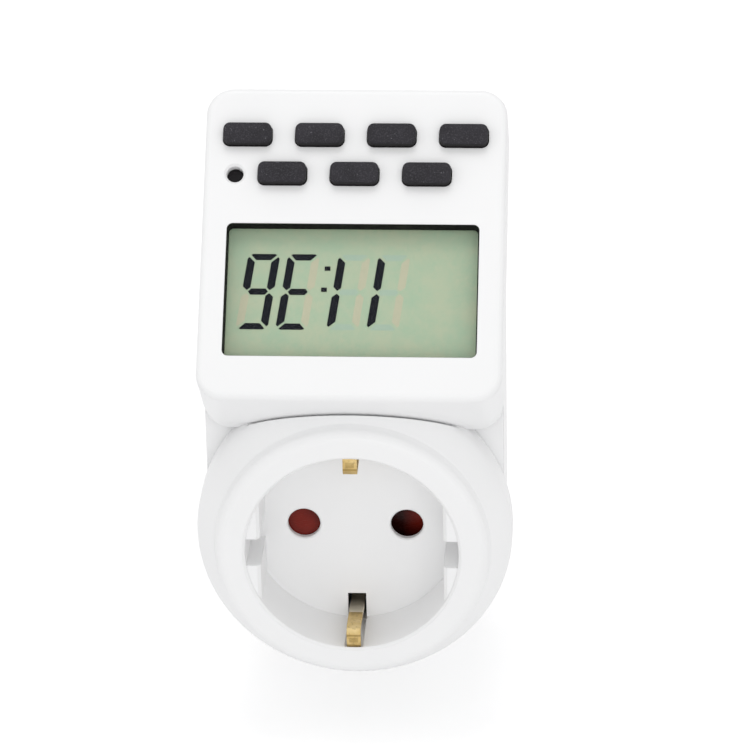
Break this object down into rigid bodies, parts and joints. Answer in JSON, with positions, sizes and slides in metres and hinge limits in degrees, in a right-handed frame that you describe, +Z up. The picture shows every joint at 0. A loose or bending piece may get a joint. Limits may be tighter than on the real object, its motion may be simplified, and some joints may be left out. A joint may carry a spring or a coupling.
{
  "type": "plug-in digital timer switch",
  "caption": "Plug-in weekly timer: a grounded through-socket in a domed body below a tilted head with display and keys, and a two-pin plug at the back",
  "frame": {"origin": "Midway between the two plug pins, on the face of the plug's nose that the pins stand out of", "axes": "X to the right seen from the front, Y into the wall along the pins, Z up along the face of the wall towards the display head"},
  "size_m": [0.058, 0.0905, 0.1031],
  "materials": {
    "white_shell": "satin white moulded plastic",
    "clear_pane": "clear acrylic pane",
    "display_glass": "grey-green reflective liquid crystal display",
    "display_ink": "dark display segments",
    "inner_plastic": "plain off-white moulded plastic",
    "pink_rubber": "striped elastomer",
    "green_board": "green solder mask",
    "black_epoxy": "glossy potted epoxy",
    "bare_steel": "zinc-plated steel",
    "grey_rubber": "translucent grey silicone",
    "black_key": "matt black plastic",
    "red_shutter": "dark red moulded plastic",
    "brass": "stamped sheet brass",
    "plated_pin": "nickel-plated brass",
    "brown_board": "brown paper-phenolic board",
    "blue_case": "blue relay case",
    "yellow_case": "yellow box capacitor",
    "black_sleeve": "shrink sleeve over an aluminium can",
    "blue_ceramic": "blue dipped coating",
    "fuse_ceramic": "beige ceramic body",
    "grey_cable": "grey ribbon insulation"
  },
  "bodies": {
    "casing": {"front_cover": "white_shell", "window_pane": "clear_pane", "lcd_glass": "display_glass", "lcd_digits": "display_ink", "lcd_frame": "inner_plastic", "zebra_strips": "pink_rubber", "display_board": "green_board", "controller_blob": "black_epoxy", "backup_cell": "bare_steel", "key_mat": "grey_rubber", "cover_screws": "bare_steel", "main_housing": "white_shell", "shutter_spring": "bare_steel", "shutter_screw": "bare_steel", "contact_carrier": "inner_plastic", "live_contact": "brass", "neutral_contact": "brass", "earth_strip": "brass", "rear_housing": "white_shell", "plug_earth_strip": "brass", "live_pin": "plated_pin", "neutral_pin": "plated_pin", "live_strap": "brass", "neutral_strap": "brass", "load_strap": "brass", "power_board": "brown_board", "board_screws": "bare_steel", "relay": "blue_case", "film_capacitor": "yellow_case", "smoothing_capacitor": "black_sleeve", "varistor": "blue_ceramic", "fuse": "fuse_ceramic", "ribbon_cable": "grey_cable", "housing_screws": "bare_steel"},
    "mode_key": {"mode_key": "black_key"},
    "enter_key": {"enter_key": "black_key"},
    "clock_key": {"clock_key": "black_key"},
    "clear_key": {"clear_key": "black_key"},
    "minute_key": {"minute_key": "black_key"},
    "hour_key": {"hour_key": "black_key"},
    "week_key": {"week_key": "black_key"},
    "reset_key": {"reset_key": "black_key"},
    "shutter": {"shutter": "red_shutter"}
  },
  "joints": [
    {"name": "mode_press", "type": "slide", "parent": "casing", "child": "mode_key", "axis": [0, 0.7071, -0.7071], "range_m": [0, 0.001], "stiffness_N_per_m": 1200, "springref_m": -0.0005, "deforming": ["key_mat"]},
    {"name": "enter_press", "type": "slide", "parent": "casing", "child": "enter_key", "axis": [0, 0.7071, -0.7071], "range_m": [0, 0.001], "stiffness_N_per_m": 1200, "springref_m": -0.0005, "deforming": ["key_mat"]},
    {"name": "clock_press", "type": "slide", "parent": "casing", "child": "clock_key", "axis": [0, 0.7071, -0.7071], "range_m": [0, 0.001], "stiffness_N_per_m": 1200, "springref_m": -0.0005, "deforming": ["key_mat"]},
    {"name": "clear_press", "type": "slide", "parent": "casing", "child": "clear_key", "axis": [0, 0.7071, -0.7071], "range_m": [0, 0.001], "stiffness_N_per_m": 1200, "springref_m": -0.0005, "deforming": ["key_mat"]},
    {"name": "minute_press", "type": "slide", "parent": "casing", "child": "minute_key", "axis": [0, 0.7071, -0.7071], "range_m": [0, 0.001], "stiffness_N_per_m": 1200, "springref_m": -0.0005, "deforming": ["key_mat"]},
    {"name": "hour_press", "type": "slide", "parent": "casing", "child": "hour_key", "axis": [0, 0.7071, -0.7071], "range_m": [0, 0.001], "stiffness_N_per_m": 1200, "springref_m": -0.0005, "deforming": ["key_mat"]},
    {"name": "week_press", "type": "slide", "parent": "casing", "child": "week_key", "axis": [0, 0.7071, -0.7071], "range_m": [0, 0.001], "stiffness_N_per_m": 1200, "springref_m": -0.0005, "deforming": ["key_mat"]},
    {"name": "reset_press", "type": "slide", "parent": "casing", "child": "reset_key", "axis": [0, 0.7071, -0.7071], "range_m": [0, 0.001], "stiffness_N_per_m": 800, "springref_m": -0.0005, "deforming": ["key_mat"]},
    {"name": "shutter_turn", "type": "hinge", "parent": "casing", "child": "shutter", "pos_m": [0, -0.055, 0], "axis": [0, -1, 0], "range_deg": [0, 48], "stiffness_Nm_per_rad": 0.002, "springref_deg": -17.19}
  ]
}
